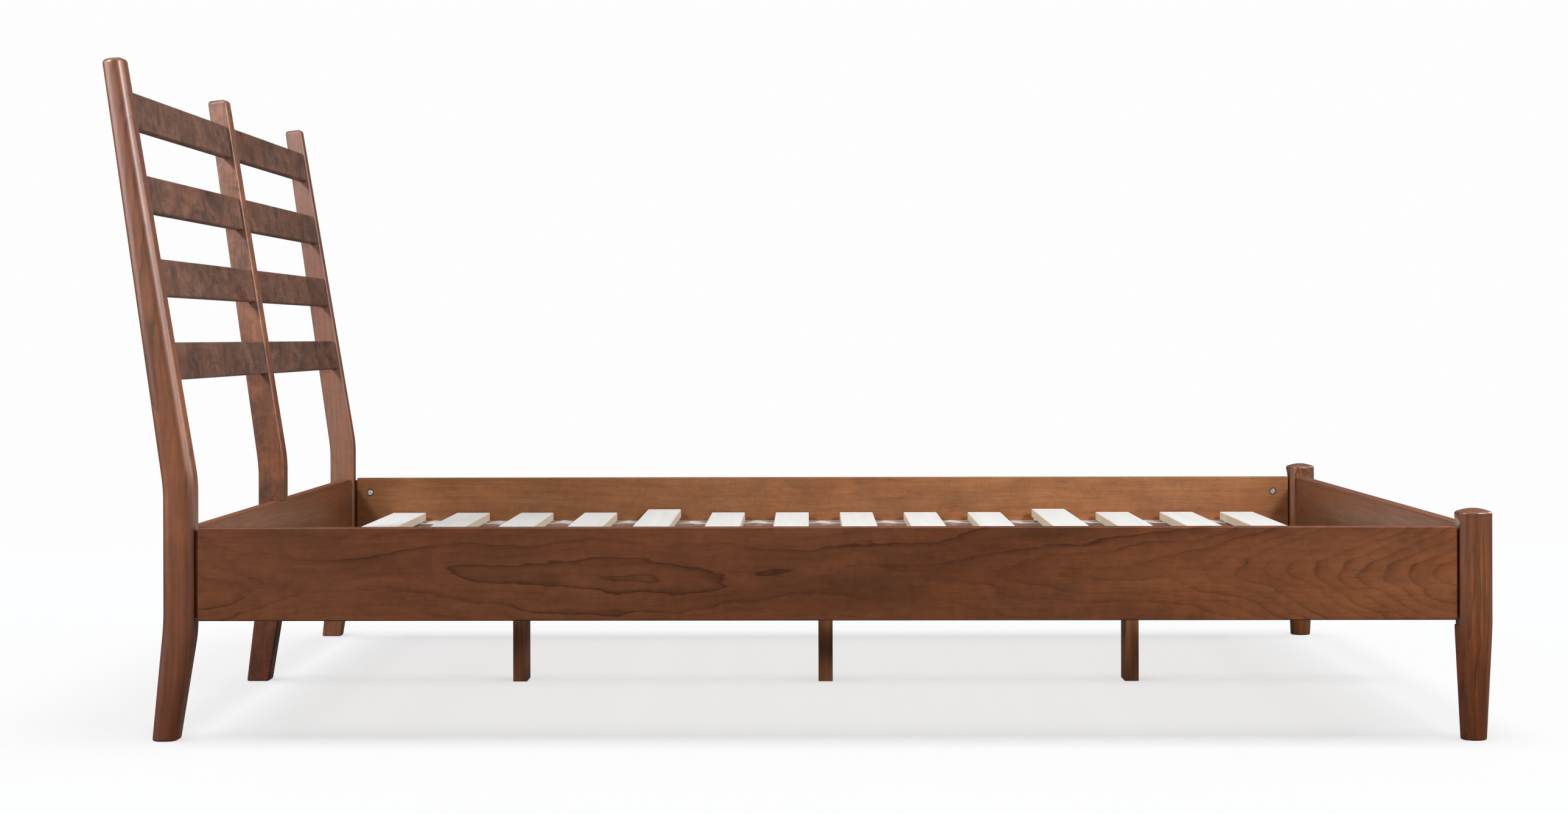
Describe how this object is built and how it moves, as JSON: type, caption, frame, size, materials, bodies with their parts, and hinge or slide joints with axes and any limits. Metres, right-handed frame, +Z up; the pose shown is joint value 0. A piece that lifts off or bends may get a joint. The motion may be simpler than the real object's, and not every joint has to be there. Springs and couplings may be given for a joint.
{
  "type": "bed frame",
  "caption": "Low wooden platform bed frame with slats, turned foot posts and a raked ladder-back headboard; holds a queen mattress.",
  "frame": {"origin": "centre of the frame's footprint on the floor (bounding box bottom centre)", "axes": "+Z up, +X from the headboard to the foot, +Y across to the sleeper's left-hand side rail seen lying on the back"},
  "size_m": [2.2485, 1.635, 1.108],
  "materials": {
    "walnut": "satin clear lacquer over reddish-brown walnut",
    "leg_stain": "dark brown stain",
    "slat_wood": "pale sawn wood, unfinished",
    "support_wood": "light brown, unfinished",
    "steel": "zinc plated",
    "webbing": "woven light grey tape"
  },
  "bodies": {
    "root": {"barrel_nut_foot_left_lower": "steel", "barrel_nut_foot_left_upper": "steel", "barrel_nut_foot_right_lower": "steel", "barrel_nut_foot_right_upper": "steel", "barrel_nut_head_left_lower": "steel", "barrel_nut_head_left_upper": "steel", "barrel_nut_head_right_lower": "steel", "barrel_nut_head_right_upper": "steel", "centre_bracket_foot": "steel", "centre_bracket_head": "steel", "centre_leg_1": "leg_stain", "centre_leg_2": "leg_stain", "centre_leg_3": "leg_stain", "centre_rail": "support_wood", "foot_post_left": "walnut", "foot_post_right": "walnut", "foot_rail": "walnut", "hanger_bolt_foot_left_lower": "steel", "hanger_bolt_foot_left_upper": "steel", "hanger_bolt_foot_right_lower": "steel", "hanger_bolt_foot_right_upper": "steel", "hanger_bolt_head_left_lower": "steel", "hanger_bolt_head_left_upper": "steel", "hanger_bolt_head_right_lower": "steel", "hanger_bolt_head_right_upper": "steel", "head_post_left": "walnut", "head_post_middle": "walnut", "head_post_right": "walnut", "head_rail": "walnut", "ledger_left": "support_wood", "ledger_right": "support_wood", "middle_post_screw": "steel", "rung_1_left": "walnut", "rung_1_right": "walnut", "rung_2_left": "walnut", "rung_2_right": "walnut", "rung_3_left": "walnut", "rung_3_right": "walnut", "rung_4_left": "walnut", "rung_4_right": "walnut", "side_rail_left": "walnut", "side_rail_right": "walnut", "slat_01": "slat_wood", "slat_02": "slat_wood", "slat_03": "slat_wood", "slat_04": "slat_wood", "slat_05": "slat_wood", "slat_06": "slat_wood", "slat_07": "slat_wood", "slat_08": "slat_wood", "slat_09": "slat_wood", "slat_10": "slat_wood", "slat_11": "slat_wood", "slat_12": "slat_wood", "slat_13": "slat_wood", "slat_14": "slat_wood", "slat_tape_left": "webbing", "slat_tape_right": "webbing"}
  },
  "joints": []
}
